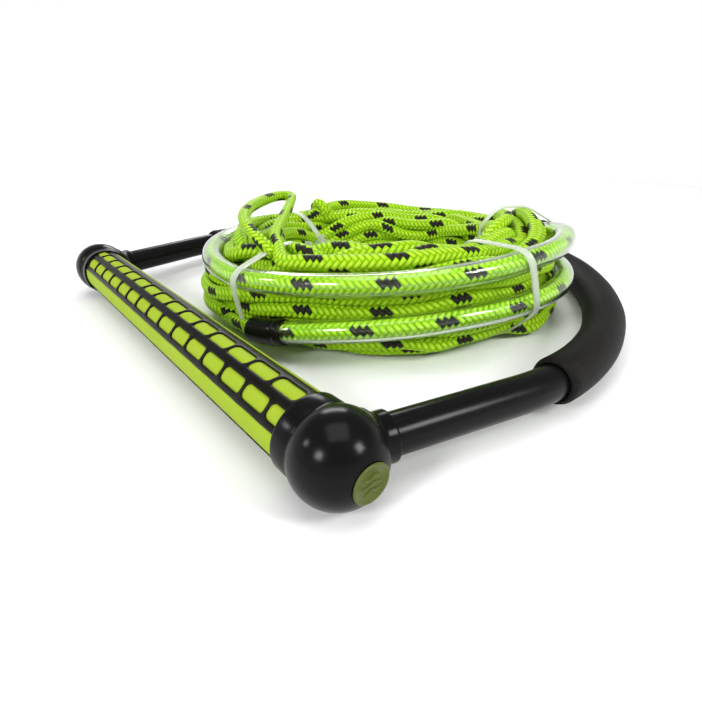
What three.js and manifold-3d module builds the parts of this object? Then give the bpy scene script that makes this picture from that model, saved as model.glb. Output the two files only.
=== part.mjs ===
// Floating tow rope handle with its rope coiled inside it. Millimetres, +Z up.
// The handle lies flat: the grip bar runs along Y at the -X end and the hose loop bends round at +X.
// Plan distances called "reach" are measured from the bar's axis.
import * as THREE from 'three';
import { mergeVertices } from 'three/addons/utils/BufferGeometryUtils.js';
import Module from 'manifold-3d';

const wasm = await Module();
wasm.setup();

// ---------------------------------------------------------------- driving dimensions
const DEG = Math.PI / 180;
const GAP = 0.3;

// Hubs: a ball at each end of the bar.
const HUB_Y = 147;
const HUB_R = 18.2;
const HUB_FLAT = 16.4;
const HUB_BORE_FLOOR = 9.7;
const COLLAR_R = 16.5;
const COLLAR_FACE = 17;
const COLLAR_FLOOR = 12;
const NECK_R = 10;
const NECK_START = 10;
const NECK_END = 21;
const BADGE_R = 7.6;
const BADGE_THICKNESS = 0.9;

// Grip bar: a metal tube in a foam sleeve, with two thin window panels moulded onto the sleeve.
const TUBE_R = 11;
const TUBE_WALL = 1.5;
const SLEEVE_R = 14.4;
const PANEL_WALL = 0.6;
const PANEL_FRONT_MARGIN = 24;
const PANEL_BACK_MARGIN = 31;
const PANEL_FACET = 8;
const PANELS = { top: { frontEdge: 158, turn: -1 }, bottom: { frontEdge: 204, turn: 1 } };
const ROWS_APART = 41;
const WINDOW_PITCH = 17.84;
const WINDOW_LENGTH = 16.1;
const WINDOW_SWEEP = 25;
const WINDOW_DATUM = -4.3;
const WINDOW_SHORTEST = 5;

// Hose loop and the float over its bend.
const HOSE_R = 8.3;
const HOSE_BORE_R = 5.6;
const HOSE_START = 12;
const HOSE_INSET = 2.8;
const ARM_SPLAY = 14.3 * DEG;
const ARM_REACH = 80.8;
const BEND_HANDLE_ARM = 103.8;
const BEND_HANDLE_TIP = 92.5;
const LOOP_REACH = 307.7;
const BEND_STEPS = 15;
const FLOAT_R = 11;
const FLOAT_BORE_R = 8.8;
const FLOAT_FIRST_STATION = 3;

// Coiled rope, lying inside the loop.
const ROPE_R = 4.2;
const COIL_REACH = 148;
const COIL_Y = -11;
const COIL = { inner: 64, outer: 106.5, bottom: 1.9, top: 56, corner: 10 };
const COIL_LEAN = 4;
const COIL_LOW_SIDE = 60;
const KNOT = { angle: 84, radius: 86, ball: 8.4 };

// Clear tubing over the rope's handle end, wound almost a turn and a half round the coil.
const TUBING_R = 6.35;
const TUBING_BORE_R = 5;
const TUBING_PATH_R = 114.7;
const TUBING_START = -176;
const TUBING_SWEEP = 516;
const TUBING_STEPS = 40;
const FERRULE_R = 7.5;
const FERRULE_SWEEP = 12.5;
const FERRULE_DEPTH = 5;

// Nylon ties round the coil and the tubing: angle of each and the height of its head.
const TIES = [[-178.5, 46], [-88, 40], [98, 28], [-38, 36]];
const TIE = { inner: 63.4, outer: 121.8, bottom: 1.5, top: 61.4, corner: 8, wall: 1.2, width: 4.8 };
const TIE_HEAD = { across: 5, high: 8, along: 7 };

// The handle's own box is centred on the origin.
const BAR_X = -(LOOP_REACH + FLOAT_R - HUB_R) / 2;

// ---------------------------------------------------------------- materials
const look = (color, roughness, metalness = 0) => new THREE.MeshStandardMaterial({ color, roughness, metalness });
const blackGloss = () => look(0x0b0b0c, 0.18);
const blackRubber = () => look(0x141415, 0.6);
const limeFoam = () => look(0xa3c93c, 0.7);
const limeRope = () => look(0x7fd61c, 0.6);
const clearVinyl = () => look(0xc9d6bf, 0.15);
const nylon = () => look(0xc4cdbf, 0.35);
const aluminium = () => look(0x9a9da1, 0.35, 0.9);
const oliveBadge = () => look(0x6f8432, 0.4);

// ---------------------------------------------------------------- solid helpers
const group = new THREE.Group();

function add(name, geometry, material) {
  const mesh = new THREE.Mesh(geometry, material);
  mesh.name = name;
  group.add(mesh);
}

function toSolid(geometry) {
  const bare = geometry.clone();
  bare.deleteAttribute('normal');
  bare.deleteAttribute('uv');
  const merged = mergeVertices(bare, 1e-4);
  return new wasm.Manifold(new wasm.Mesh({
    numProp: 3,
    vertProperties: new Float32Array(merged.attributes.position.array),
    triVerts: new Uint32Array(merged.index.array),
  }));
}

function toGeometry(solid) {
  const mesh = solid.getMesh();
  const geometry = new THREE.BufferGeometry();
  geometry.setAttribute('position', new THREE.BufferAttribute(new Float32Array(mesh.vertProperties), 3));
  geometry.setIndex(new THREE.BufferAttribute(new Uint32Array(mesh.triVerts), 1));
  geometry.computeVertexNormals();
  return geometry;
}

// A curve that visits its stations exactly, so that tubes with the same stations nest without touching.
class StationCurve extends THREE.Curve {
  constructor(stations) {
    super();
    this.stations = stations;
  }

  getPointAt(u, target = new THREE.Vector3()) {
    const place = THREE.MathUtils.clamp(u, 0, 1) * (this.stations.length - 1);
    const index = Math.min(Math.floor(place + 1e-9), this.stations.length - 2);
    return target.copy(this.stations[index]).lerp(this.stations[index + 1], place - index);
  }

  getTangentAt(u, target = new THREE.Vector3()) {
    const step = 0.5 / (this.stations.length - 1);
    return target.copy(this.getPointAt(u + step)).sub(this.getPointAt(u - step)).normalize();
  }
}

function circle(radius, sides) {
  const points = [];
  for (let i = 0; i < sides; i += 1) {
    const angle = ((i + 0.5) / sides) * 2 * Math.PI;
    points.push(new THREE.Vector2(radius * Math.cos(angle), radius * Math.sin(angle)));
  }
  return points;
}

function sweep(section, stations) {
  return new THREE.ExtrudeGeometry(section, {
    steps: stations.length - 1,
    extrudePath: new StationCurve(stations),
  });
}

function rod(stations, radius, sides) {
  return sweep(new THREE.Shape(circle(radius, sides)), stations);
}

function pipe(stations, radius, sides, boreRadius, boreSides) {
  const section = new THREE.Shape(circle(radius, sides));
  section.holes.push(new THREE.Path(circle(boreRadius, boreSides)));
  return sweep(section, stations);
}

// Turns a profile of [radius, along] pairs about the Y axis.
function turned(profile, segments) {
  return new THREE.LatheGeometry(profile.map(([radius, along]) => new THREE.Vector2(radius, along)), segments);
}

function turnedPipe(bore, outer, half, segments) {
  return turned([[bore, -half], [outer, -half], [outer, half], [bore, half], [bore, -half]], segments);
}

function roundedOutline(left, bottom, right, top, corner, arcSteps) {
  const centres = [
    [right - corner, top - corner],
    [left + corner, top - corner],
    [left + corner, bottom + corner],
    [right - corner, bottom + corner],
  ];
  const points = [];
  centres.forEach(([x, y], quarter) => {
    for (let i = 0; i <= arcSteps; i += 1) {
      const angle = (quarter + i / arcSteps) * (Math.PI / 2);
      points.push(new THREE.Vector2(x + corner * Math.cos(angle), y + corner * Math.sin(angle)));
    }
  });
  return points;
}

// ---------------------------------------------------------------- hose route
// The loop's plane drops from the hub centres to the float, which rests on the ground.
function hosePoint(reach, y) {
  return new THREE.Vector3(BAR_X + reach, y, HUB_R + (FLOAT_R - HUB_R) * (reach / LOOP_REACH));
}

// Distance of a straight arm from the middle line, at a given reach.
function armOffset(reach) {
  return HUB_Y - HOSE_INSET + reach * Math.tan(ARM_SPLAY);
}

// One half of the loop, from the hub on that side: a straight splayed arm, then one cubic bend to the tip.
function halfHose(side) {
  const bend = new THREE.CubicBezierCurve(
    new THREE.Vector2(ARM_REACH, armOffset(ARM_REACH)),
    new THREE.Vector2(
      ARM_REACH + BEND_HANDLE_ARM * Math.cos(ARM_SPLAY),
      armOffset(ARM_REACH) + BEND_HANDLE_ARM * Math.sin(ARM_SPLAY),
    ),
    new THREE.Vector2(LOOP_REACH, BEND_HANDLE_TIP),
    new THREE.Vector2(LOOP_REACH, 0),
  );
  const plan = [HOSE_START, NECK_END + 4].map((reach) => new THREE.Vector2(reach, armOffset(reach)));
  plan.push(...bend.getSpacedPoints(BEND_STEPS));
  return plan.map((point) => hosePoint(point.x, side * point.y));
}

// ---------------------------------------------------------------- grip bar
function gripTube() {
  return turnedPipe(TUBE_R - TUBE_WALL, TUBE_R, HUB_Y - HUB_BORE_FLOOR - GAP, 24);
}

function gripSleeve() {
  return turnedPipe(TUBE_R + GAP, SLEEVE_R, HUB_Y - COLLAR_FLOOR - 1, 30);
}

function arcPoint(radius, degrees) {
  return new THREE.Vector2(radius * Math.cos(degrees * DEG), radius * Math.sin(degrees * DEG));
}

// A thin panel curved round the sleeve, with two rows of windows staggered by half a pitch.
// Angles are about the bar's axis, from +X towards +Z.
function gripPanel({ frontEdge, turn }) {
  const inner = SLEEVE_R + GAP;
  const outer = inner + PANEL_WALL;
  const half = HUB_Y - COLLAR_FLOOR - 2;
  const sweepAngle = PANEL_FRONT_MARGIN + ROWS_APART + PANEL_BACK_MARGIN;
  const lowEdge = Math.min(frontEdge, frontEdge + turn * sweepAngle);
  const facets = Math.round(sweepAngle / PANEL_FACET);
  const edge = (i) => lowEdge + (sweepAngle * i) / facets;
  const section = [];
  for (let i = 0; i <= facets; i += 1) {
    section.push(arcPoint(outer, edge(i)));
  }
  for (let i = facets; i >= 0; i -= 1) {
    section.push(arcPoint(inner, edge(i)));
  }
  const panel = new THREE.ExtrudeGeometry(new THREE.Shape(section), { depth: 2 * half, bevelEnabled: false });
  panel.translate(0, 0, -half);
  panel.rotateX(Math.PI / 2);

  let solid = toSolid(panel);
  const width = 2 * outer * Math.sin((WINDOW_SWEEP / 2) * DEG);
  const limit = half - 1.5;
  for (let row = 0; row < 2; row += 1) {
    const angle = frontEdge + turn * (PANEL_FRONT_MARGIN + row * ROWS_APART);
    for (let i = -9; i <= 9; i += 1) {
      const along = WINDOW_DATUM + (i + row / 2) * WINDOW_PITCH;
      const low = Math.max(along - WINDOW_LENGTH / 2, -limit);
      const high = Math.min(along + WINDOW_LENGTH / 2, limit);
      if (high - low > WINDOW_SHORTEST) {
        const cutter = new THREE.BoxGeometry(8, high - low, width);
        cutter.translate(outer, (low + high) / 2, 0);
        cutter.rotateY(-angle * DEG);
        solid = solid.subtract(toSolid(cutter));
      }
    }
  }
  return toGeometry(solid);
}

// ---------------------------------------------------------------- hubs
// A ball with a cupped collar for the sleeve, a blind bore for the tube and a neck for the hose.
function hub(side) {
  const boreR = TUBE_R + GAP;
  const cupR = SLEEVE_R + GAP + PANEL_WALL + GAP;
  const profile = [
    [0, -HUB_BORE_FLOOR],
    [boreR, -HUB_BORE_FLOOR],
    [boreR, -COLLAR_FLOOR],
    [cupR, -COLLAR_FLOOR],
    [cupR, -COLLAR_FACE],
    [COLLAR_R, -COLLAR_FACE],
  ];
  const first = -Math.acos(COLLAR_R / HUB_R);
  const last = Math.asin(HUB_FLAT / HUB_R);
  const arcSteps = 9;
  for (let i = 0; i <= arcSteps; i += 1) {
    const angle = first + ((last - first) * i) / arcSteps;
    profile.push([HUB_R * Math.cos(angle), HUB_R * Math.sin(angle)]);
  }
  profile.push([0, HUB_FLAT]);
  const ball = turned(profile, 28);
  if (side < 0) {
    ball.rotateX(Math.PI);
  }
  ball.translate(BAR_X, side * HUB_Y, HUB_R);

  const [start, next] = halfHose(side);
  const direction = next.clone().sub(start).normalize();
  const along = (distance) => start.clone().addScaledVector(direction, distance - HOSE_START);
  const neck = rod([along(NECK_START), along(NECK_END)], NECK_R, 16);
  const socket = rod([along(HOSE_START - GAP), along(NECK_END + 5)], HOSE_R + GAP, 16);

  const boreLength = COLLAR_FACE - HUB_BORE_FLOOR;
  const bore = new THREE.CylinderGeometry(boreR, boreR, boreLength, 28);
  bore.translate(BAR_X, side * (HUB_Y - HUB_BORE_FLOOR - boreLength / 2), HUB_R);
  return toGeometry(toSolid(ball).add(toSolid(neck)).subtract(toSolid(bore)).subtract(toSolid(socket)));
}

function badge(side) {
  const disc = new THREE.CylinderGeometry(BADGE_R, BADGE_R, BADGE_THICKNESS, 24);
  disc.translate(BAR_X, side * (HUB_Y + HUB_FLAT + GAP + BADGE_THICKNESS / 2), HUB_R);
  return disc;
}

// ---------------------------------------------------------------- coiled rope
function coilPoint(degrees, radius, z) {
  const { x, y } = arcPoint(radius, degrees);
  return new THREE.Vector3(BAR_X + COIL_REACH + x, COIL_Y + y, z);
}

// The coil's top is a little higher on the side next to the right-hand arm than across from it.
function coilTop(degrees) {
  return COIL.top - COIL_LEAN * Math.cos((degrees - COIL_LOW_SIDE) * DEG);
}

function coilRing() {
  const outline = roundedOutline(COIL.inner, COIL.bottom, COIL.outer, COIL.top, COIL.corner, 2);
  outline.push(outline[0].clone());
  const ring = new THREE.LatheGeometry(outline, 40);
  ring.rotateX(Math.PI / 2);
  const places = ring.attributes.position;
  for (let i = 0; i < places.count; i += 1) {
    const degrees = Math.atan2(places.getY(i), places.getX(i)) / DEG;
    const stretch = (coilTop(degrees) - COIL.bottom) / (COIL.top - COIL.bottom);
    places.setZ(i, COIL.bottom + (places.getZ(i) - COIL.bottom) * stretch);
  }
  ring.translate(BAR_X + COIL_REACH, COIL_Y, 0);
  return ring;
}

// The eye at the rope's free end, out of the coil's top, round and back: [reach, y, z].
const EYE_ROUTE = [
  [54, 0, 62.7], [57, 13, 63.6], [66, 30, 64.8], [79, 43, 66], [94, 53, 67.2], [108, 61, 68.2],
  [117, 62, 68.6], [119, 54, 68.4], [112, 43, 67.6], [100, 29, 66], [87, 14, 64.2], [75, 0, 62.7],
];

function eye() {
  const curve = new THREE.CatmullRomCurve3(EYE_ROUTE.map(([reach, y, z]) => new THREE.Vector3(BAR_X + reach, y, z)));
  return rod(curve.getSpacedPoints(24), ROPE_R, 8);
}

function knot() {
  const ball = new THREE.SphereGeometry(KNOT.ball, 12, 8);
  const place = coilPoint(KNOT.angle, KNOT.radius, coilTop(KNOT.angle) + KNOT.ball + 2 * GAP);
  ball.translate(place.x, place.y, place.z);
  return ball;
}

// Height of the tubing by angle, as it climbs round the coil.
const TUBING_CLIMB = [
  [-190, 12], [-178, 12.5], [-165, 16], [-155, 20.5], [-144, 24], [-134, 26], [-114, 29], [-65, 29.5], [10, 29.8],
  [90, 38], [150, 42], [184, 42.5], [200, 45.5], [217, 48], [246, 51], [270, 53], [300, 53], [315, 49.5], [328, 45.5],
  [340, 43.8], [360, 43.8],
];

function tubingPoint(degrees) {
  const next = TUBING_CLIMB.findIndex(([angle]) => angle > degrees);
  const [angle0, z0] = TUBING_CLIMB[next - 1];
  const [angle1, z1] = TUBING_CLIMB[next];
  return coilPoint(degrees, TUBING_PATH_R, z0 + ((z1 - z0) * (degrees - angle0)) / (angle1 - angle0));
}

const TUBING_END = TUBING_START + TUBING_SWEEP;

// Stations of the covered rope: its ends, the tubing's ends, the ferrules' inner ends, and even steps between.
function coveredRopeStations() {
  const first = TUBING_START + FERRULE_SWEEP;
  const last = TUBING_END - FERRULE_SWEEP;
  const angles = [TUBING_START, TUBING_START + FERRULE_DEPTH];
  for (let i = 0; i <= TUBING_STEPS; i += 1) {
    angles.push(first + ((last - first) * i) / TUBING_STEPS);
  }
  angles.push(TUBING_END - FERRULE_DEPTH, TUBING_END);
  return angles.map(tubingPoint);
}

// A cap over one end of the tubing: a wide seat for the tubing, and a smaller hole for the rope.
// It reaches from just inside the rope's end towards the tubing, in the direction of turn.
function ferrule(end, turn) {
  const at = (angles) => angles.map((angle) => tubingPoint(end + turn * angle));
  const cap = rod(at([0.5, FERRULE_DEPTH, FERRULE_SWEEP]), FERRULE_R, 14);
  const hole = rod(at([-1, FERRULE_DEPTH, FERRULE_SWEEP + 2]), ROPE_R + 2 * GAP, 12);
  const seat = rod(at([FERRULE_DEPTH - 0.2, FERRULE_SWEEP, FERRULE_SWEEP + 2]), TUBING_R + GAP, 14);
  return toGeometry(toSolid(cap).subtract(toSolid(hole)).subtract(toSolid(seat)));
}

// A tie round the coil's section, with its head on the coil's inner wall.
function cableTie(degrees, headHeight) {
  const { inner, outer, bottom, top, corner, wall, width } = TIE;
  const arcSteps = 3;
  const strap = new THREE.Shape(
    roundedOutline(inner - wall, bottom - wall, outer + wall, top + wall, corner + wall, arcSteps),
  );
  strap.holes.push(new THREE.Path(roundedOutline(inner, bottom, outer, top, corner, arcSteps)));
  const band = new THREE.ExtrudeGeometry(strap, { depth: width, bevelEnabled: false });
  band.translate(0, 0, -width / 2);
  const head = new THREE.BoxGeometry(TIE_HEAD.across, TIE_HEAD.high, TIE_HEAD.along);
  head.translate(inner - GAP - TIE_HEAD.across / 2, headHeight, 0);
  const tie = toGeometry(toSolid(band).add(toSolid(head)));
  tie.rotateX(Math.PI / 2);
  tie.rotateZ(degrees * DEG);
  tie.translate(BAR_X + COIL_REACH, COIL_Y, 0);
  return tie;
}

// ---------------------------------------------------------------- assembly
function addGrip() {
  const pieces = [
    ['grip_tube', gripTube(), aluminium()],
    ['grip_sleeve', gripSleeve(), limeFoam()],
    ['grip_panel_top', gripPanel(PANELS.top), blackRubber()],
    ['grip_panel_bottom', gripPanel(PANELS.bottom), blackRubber()],
  ];
  for (const [name, geometry, material] of pieces) {
    geometry.translate(BAR_X, 0, HUB_R);
    add(name, geometry, material);
  }
}

function addHubs() {
  for (const [word, side] of [['left', 1], ['right', -1]]) {
    add(`hub_${word}`, hub(side), blackGloss());
    add(`hub_badge_${word}`, badge(side), oliveBadge());
  }
}

function addLoop() {
  const right = halfHose(-1);
  const left = halfHose(1).reverse();
  const stations = [...right, ...left.slice(1)];
  const covered = stations.slice(FLOAT_FIRST_STATION, stations.length - FLOAT_FIRST_STATION);
  add('bridle_hose', pipe(stations, HOSE_R, 12, HOSE_BORE_R, 8), blackGloss());
  add('float_sleeve', pipe(covered, FLOAT_R, 16, FLOAT_BORE_R, 12), blackRubber());
}

function addRope() {
  add('rope_coil', coilRing(), limeRope());
  add('rope_eye', eye(), limeRope());
  add('rope_knot', knot(), limeRope());
  const stations = coveredRopeStations();
  add('rope_in_tubing', rod(stations, ROPE_R, 8), limeRope());
  add('clear_tubing', pipe(stations.slice(1, -1), TUBING_R, 10, TUBING_BORE_R, 10), clearVinyl());
  add('tubing_ferrule_front', ferrule(TUBING_START, 1), blackGloss());
  add('tubing_ferrule_back', ferrule(TUBING_END, -1), blackGloss());
  TIES.forEach(([degrees, height], index) => add(`cable_tie_${index + 1}`, cableTie(degrees, height), nylon()));
}

addGrip();
addHubs();
addLoop();
addRope();

export default group;
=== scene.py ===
"""Looks for a floating tow rope handle, with its rope coiled and tied inside the hose loop.

The row frame is in metres, +Z up. Shapes are worked out in millimetres and scaled once, when a mesh is made.
"""
import math

import bmesh
import bpy
import numpy as np
from mathutils import Matrix, Vector, geometry


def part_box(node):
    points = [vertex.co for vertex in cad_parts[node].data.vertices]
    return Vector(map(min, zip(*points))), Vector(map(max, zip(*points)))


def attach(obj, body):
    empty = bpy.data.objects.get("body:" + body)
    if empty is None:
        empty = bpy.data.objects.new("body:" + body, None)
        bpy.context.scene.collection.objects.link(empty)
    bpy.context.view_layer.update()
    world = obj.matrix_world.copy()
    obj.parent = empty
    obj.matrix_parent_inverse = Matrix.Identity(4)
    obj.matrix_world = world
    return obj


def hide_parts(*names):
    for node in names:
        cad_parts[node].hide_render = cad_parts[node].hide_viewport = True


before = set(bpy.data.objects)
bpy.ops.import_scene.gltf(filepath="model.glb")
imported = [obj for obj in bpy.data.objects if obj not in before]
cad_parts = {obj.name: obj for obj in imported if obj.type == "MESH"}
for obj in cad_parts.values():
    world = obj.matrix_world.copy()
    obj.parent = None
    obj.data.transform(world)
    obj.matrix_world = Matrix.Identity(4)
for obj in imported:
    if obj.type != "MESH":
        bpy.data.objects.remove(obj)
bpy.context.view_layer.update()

MM = 0.001
DEG = math.pi / 180


def node_box(node):
    low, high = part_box(node)
    return np.array(low) / MM, np.array(high) / MM


# ---- driving dimensions, in mm
# The handle's are those of the CAD source. The rope, tubing and ties follow finer routes than the CAD's.

HUB_FLAT = 16.4
COLLAR_R = 16.5
COLLAR_FACE = 17.0
COLLAR_CUP_R = 15.6
COLLAR_FLOOR = 12.0
NECK_R = 10.0
NECK_END = 21.0
BADGE_R = 7.6

GRIP_HALF = 134.0
SLEEVE_BASE = 14.4
PANEL_R = 15.1
PANEL_SPAN = {"top": (158, -1), "bottom": (204, 1)}
PANEL_WIDTH = 96
ROW_ANGLES = (24, 65)
WINDOW_PITCH = 17.84
WINDOW_DATUM = -4.3
WINDOW_HALF_LENGTH = 8.05
WINDOW_HALF_WIDTH = 3.3
WINDOW_CORNER = 2.3
WINDOW_LIMIT = 133.0

HOSE_R = 8.3
ARM_SPLAY = 14.3 * DEG
ARM_REACH = 80.8
HOSE_START = 12.0
HOSE_INSET = 2.8
BEND_HANDLE_ARM = 103.8
BEND_HANDLE_TIP = 92.5
LOOP_REACH = 307.7
FLOAT_R = 10.9
FLOAT_START = 101.0

ROPE_D = 8.7
BRAID_PITCH = 20.5
TURNS, STATIONS, COLUMNS = 30, 90, 5
TURN_AREA = 76.0
COIL_OUTER = 108.3
COIL_BOTTOM = 1.9
COIL_INNER_LEAST = 54.0
COIL_TOPS = [(-180, 56), (-165, 58), (-150, 60), (-134, 62), (-124, 63), (-112, 61), (-98, 58), (-87, 56.5),
             (-75, 59), (-60, 62.5), (-45, 63.5), (-35, 61), (-28, 58), (-20, 51), (-8, 49), (2, 51),
             (12, 49), (22, 47), (36, 46.5), (45, 48), (54, 48.5), (67, 49), (78, 49.5), (98, 51), (120, 54),
             (150, 58), (165, 57), (180, 56)]
LEFT_BULGE = 16.5
RIGHT_BULGE = 13.0
TIE_PINCH_WIDTH = 13
TUBING_CLIMB = [(-190, 12), (-178, 12.5), (-165, 16), (-155, 20.5), (-144, 24), (-134, 26), (-114, 29),
                (-65, 29.5), (-50, 28.5), (-38, 26.5), (-10, 26.5), (10, 29), (90, 38), (150, 42),
                (184, 42.5), (200, 45.5), (217, 48), (246, 51), (270, 53), (300, 52), (312, 49), (322, 45), (336, 40.5),
                (360, 40.5)]
TUBING_REACH = [(-190, 114.7), (-105, 114.7), (-88, 117), (-72, 120), (-60, 120), (-30, 117), (0, 114.7),
                (270, 114.7), (292, 116.5), (305, 117.3), (320, 116), (334, 112), (360, 112)]
TUBING_START, TUBING_END = -172.5, 336.0
TUBING_R, TUBING_BORE_R = 6.35, 4.85
FERRULE_SWEEP = 13
TIE_WIDTH, TIE_WALL = 4.8, 1.2
# Each tie's angle at the ground, its lean by its top, and its head's height on the inner wall.
TIES = [(-178.5, 6.5, 46), (-87.5, -9, 40), (97, 2, 29), (-38, 0, 34)]

# The eye at the rope's free end, in metres from the bar's axis along X, from the middle along Y, and up.
EYE_ROUTE = [
    (0.0520, -0.0290, 0.0540), (0.0503, -0.0194, 0.0590), (0.0511, -0.0060, 0.0628), (0.0560, 0.0100, 0.0650),
    (0.0644, 0.0255, 0.0665), (0.0770, 0.0400, 0.0675), (0.0922, 0.0513, 0.0680), (0.1070, 0.0600, 0.0683),
    (0.1174, 0.0627, 0.0680), (0.1190, 0.0540, 0.0678), (0.1110, 0.0430, 0.0675), (0.1000, 0.0290, 0.0665),
    (0.0896, 0.0170, 0.0650), (0.0719, -0.0021, 0.0620), (0.0588, -0.0172, 0.0590), (0.0560, -0.0280, 0.0572),
]
EYE_THINNING = 0.8

# The tail past the tubing's end, as angle round the coil, radius and height.
TAIL_ROUTE = [
    (-12, 112, 41), (2, 112.5, 41), (16, 113, 41), (30, 112, 41.5), (42, 109, 44.5), (54, 104, 47.5),
    (66, 97, 50.5), (76, 89, 51), (84, 83, 50), (90, 79, 49), (96, 77, 47),
]
KNOT_ANGLE, KNOT_REACH, KNOT_HEIGHT = 85, 82, 50.0

# ---- places taken from the frame, in mm

tube_low, tube_high = node_box("grip_tube")
BAR = (tube_low + tube_high) / 2
BAR_X, BAR_Z = BAR[0], BAR[2]
HUB_R = BAR_Z
HUB_Y = node_box("hub_left")[0][1] + COLLAR_FACE
coil_low, coil_high = node_box("rope_coil")
COIL = (coil_low + coil_high) / 2

# ---- studio, in degrees, metres and watts

FLOOR_R = 750
SKY_BAND = (0.22, 0.40)
SKY_CEILING = 0.30
SOFTBOXES = [
    ("left", -167, 30, 1.1, 0.22, 0.22, 4.5),
    ("right", -75, 36, 1.1, 0.26, 0.26, 6.0),
    ("far_left", 151, 29, 1.1, 0.15, 0.15, 1.5),
    ("back", 57, 30, 1.3, 0.7, 0.3, 6.0),
    ("overhead", -120, 84, 1.4, 1.0, 1.0, 9.0),
]

# ---- camera

CAMERA_FROM_BAR = (-72.36, -243.4, 121.04)
CAMERA_YAW, CAMERA_PITCH, CAMERA_ROLL = 0.883, -0.48, -0.022
CAMERA_LENS = 23.38


def make_camera():
    yaw, pitch, roll = CAMERA_YAW, CAMERA_PITCH, CAMERA_ROLL
    ahead = Vector((math.cos(pitch) * math.cos(yaw), math.cos(pitch) * math.sin(yaw), math.sin(pitch)))
    right = ahead.cross(Vector((0, 0, 1))).normalized()
    up = right.cross(ahead)
    right, up = (right * math.cos(roll) + up * math.sin(roll), up * math.cos(roll) - right * math.sin(roll))
    data = bpy.data.cameras.new("camera")
    data.lens = CAMERA_LENS
    data.sensor_width = 36
    data.clip_start = 0.01
    camera = bpy.data.objects.new("camera", data)
    place = Matrix((right, up, -ahead)).transposed().to_4x4()
    place.translation = Vector((CAMERA_FROM_BAR[0] + BAR_X, CAMERA_FROM_BAR[1], CAMERA_FROM_BAR[2])) * MM
    camera.matrix_world = place
    bpy.context.scene.collection.objects.link(camera)
    bpy.context.scene.camera = camera


make_camera()

# ---- mesh helpers


def smoothstep(low, high, x):
    t = np.clip((np.asarray(x, float) - low) / (high - low), 0, 1)
    return t * t * (3 - 2 * t)


def bump(degrees, centre, width):
    away = (np.asarray(degrees, float) - centre + 180) % 360 - 180
    return np.exp(-((away / width) ** 2))


def add_object(name, data):
    obj = bpy.data.objects.new(name, data)
    bpy.context.scene.collection.objects.link(obj)
    return obj


def mesh_object(name, points, faces, smooth=True):
    """A mesh object from points in mm."""
    mesh = bpy.data.meshes.new(name)
    mesh.from_pydata((np.asarray(points, float) * MM).tolist(), [], [tuple(int(i) for i in f) for f in faces])
    if smooth:
        mesh.polygons.foreach_set("use_smooth", [True] * len(mesh.polygons))
    mesh.update()
    return add_object(name, mesh)


def add_uv(obj, name, per_vertex_uv, wrap_u=None):
    """Writes a UV layer from one (u, v) per vertex. With wrap_u, a face over the seam gets u past it."""
    mesh = obj.data
    layer = mesh.uv_layers.new(name=name)
    index = np.zeros(len(mesh.loops), int)
    mesh.loops.foreach_get("vertex_index", index)
    uv = np.asarray(per_vertex_uv, float)[index]
    if wrap_u:
        starts = np.zeros(len(mesh.polygons), int)
        totals = np.zeros(len(mesh.polygons), int)
        mesh.polygons.foreach_get("loop_start", starts)
        mesh.polygons.foreach_get("loop_total", totals)
        face_of = np.repeat(np.arange(len(starts)), totals)
        highest = np.full(len(starts), -1e9)
        np.maximum.at(highest, face_of, uv[:, 0])
        crosses = (highest[face_of] - uv[:, 0]) > wrap_u / 2
        uv[crosses, 0] += wrap_u
    layer.data.foreach_set("uv", uv.astype(np.float32).ravel())


def distance_along(points):
    return np.concatenate([[0], np.cumsum(np.linalg.norm(np.diff(points, axis=0), axis=1))])


def resample(points, spacing):
    """Points an even distance apart along the line through points."""
    points = np.asarray(points, float)
    gone = distance_along(points)
    count = max(2, int(round(gone[-1] / spacing)) + 1)
    at = np.linspace(0, gone[-1], count)
    return np.stack([np.interp(at, gone, points[:, i]) for i in range(3)], 1)


def relax(points, rounds):
    """Rounds off corners without moving the ends."""
    points = np.array(points, float)
    for _ in range(rounds):
        points[1:-1] = 0.25 * points[:-2] + 0.5 * points[1:-1] + 0.25 * points[2:]
    return points


def spline(points, per_span=8):
    """A Catmull-Rom line through the points."""
    points = np.asarray(points, float)
    padded = np.vstack([2 * points[0] - points[1], points, 2 * points[-1] - points[-2]])
    out = []
    for i in range(len(points) - 1):
        p0, p1, p2, p3 = padded[i:i + 4]
        for t in np.arange(per_span) / per_span:
            out.append(0.5 * (2 * p1 + (p2 - p0) * t + (2 * p0 - 5 * p1 + 4 * p2 - p3) * t * t
                              + (3 * p1 - p0 - 3 * p2 + p3) * t ** 3))
    out.append(points[-1])
    return np.array(out)


def frames_along(points):
    """Tangents and two normals at each point, carried along without twist."""
    tangents = np.gradient(points, axis=0)
    tangents /= np.linalg.norm(tangents, axis=1)[:, None]
    first = np.cross(tangents[0], (0, 0, 1))
    normal = first / np.linalg.norm(first)
    normals = [normal]
    for tangent in tangents[1:]:
        normal = normal - tangent * normal.dot(tangent)
        normal = normal / np.linalg.norm(normal)
        normals.append(normal)
    normals = np.array(normals)
    return tangents, normals, np.cross(tangents, normals)


def tube_points(points, radii, sides):
    """Rings of points round a line. radii is one number, one for each ring, or one for each point."""
    _, normals, binormals = frames_along(points)
    angles = np.arange(sides) * 2 * math.pi / sides
    radii = np.asarray(radii, float)
    if radii.ndim < 2:
        radii = np.broadcast_to(radii.reshape(-1, 1), (len(points), sides))
    across = np.cos(angles)[None, :, None] * normals[:, None, :]
    ring = across + np.sin(angles)[None, :, None] * binormals[:, None, :]
    return (points[:, None, :] + ring * radii[:, :, None]).reshape(-1, 3)


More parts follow.
